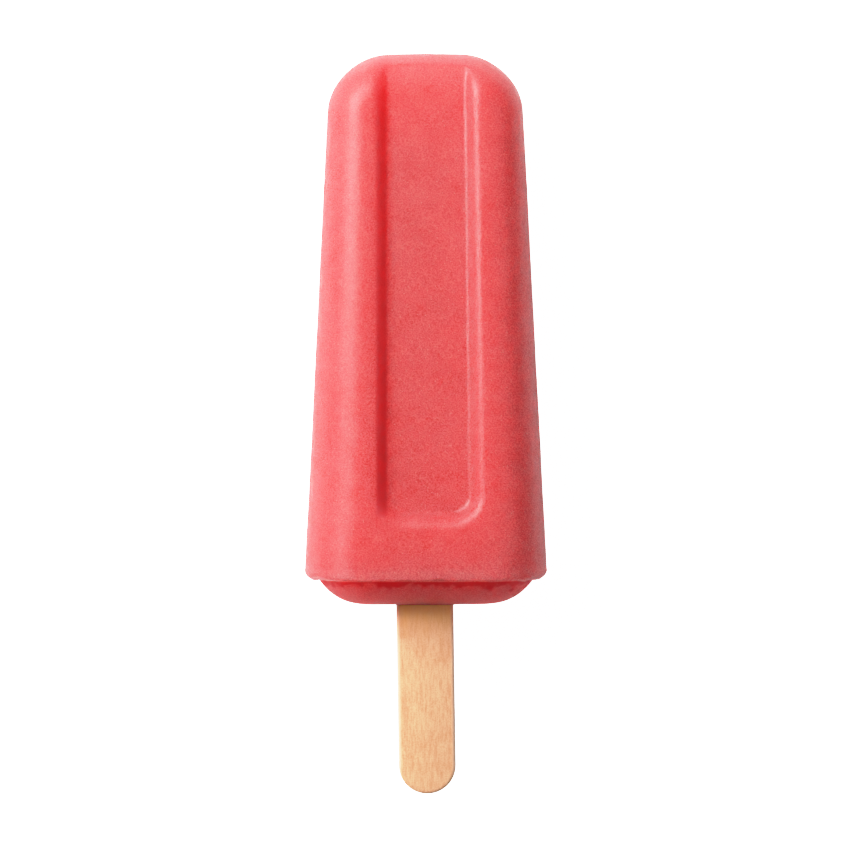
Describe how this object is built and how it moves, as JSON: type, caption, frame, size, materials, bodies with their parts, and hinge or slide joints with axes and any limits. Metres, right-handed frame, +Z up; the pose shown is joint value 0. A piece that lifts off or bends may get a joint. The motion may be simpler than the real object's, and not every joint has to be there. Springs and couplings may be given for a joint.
{
  "type": "ice pop",
  "caption": "Frozen fruit bar with a rounded crown and a sunken panel on each face, frozen round a flat wooden stick.",
  "frame": {"origin": "middle of the whole pop's footprint, on the surface it lies on", "axes": "+Y along the pop from the stick's tip towards the rounded crown, +Z up out of the shown face"},
  "size_m": [0.0422, 0.1295, 0.025],
  "materials": {
    "fruit_sorbet": "dense coral-red frozen fruit, finely icy, satin with a soft frosty sheen",
    "stick_wood": "bare pale birch, planed, faint long grain, stained by juice next to the bar"
  },
  "bodies": {
    "root": {"sorbet_bar": "fruit_sorbet", "wood_stick": "stick_wood"}
  },
  "joints": []
}
